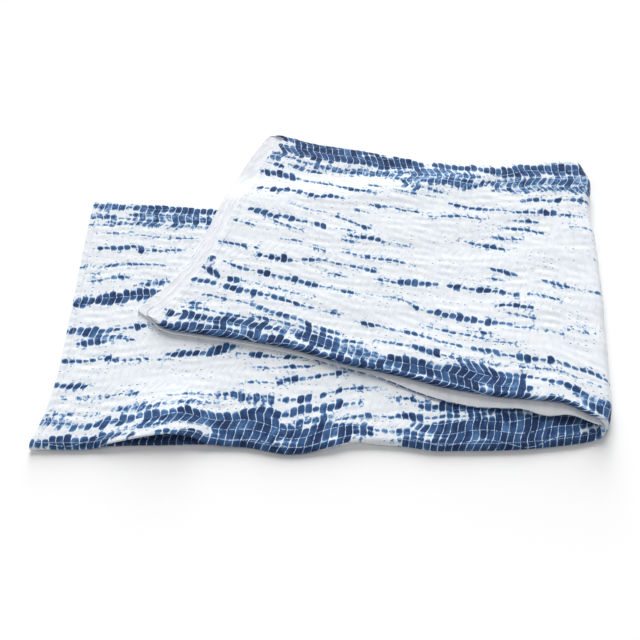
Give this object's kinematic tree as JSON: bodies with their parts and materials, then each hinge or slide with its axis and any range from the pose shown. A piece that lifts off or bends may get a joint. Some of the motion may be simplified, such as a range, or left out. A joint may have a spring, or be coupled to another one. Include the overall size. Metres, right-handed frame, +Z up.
{
  "type": "tie-dye throw",
  "caption": "Cotton throw with an indigo stitched tie-dye pattern and a plain white back, folded in three and then over once, lying flat.",
  "frame": {"origin": "bottom centre of the folded throw's bounding box", "axes": "+X along the folded strip, from its open ends to its fold; +Y away from the camera, across the strip; +Z up"},
  "size_m": [0.8835, 0.655, 0.0336],
  "materials": {
    "cloth": "soft matt cotton, white ground with indigo dye"
  },
  "bodies": {
    "root": {"throw": "cloth"}
  },
  "joints": []
}
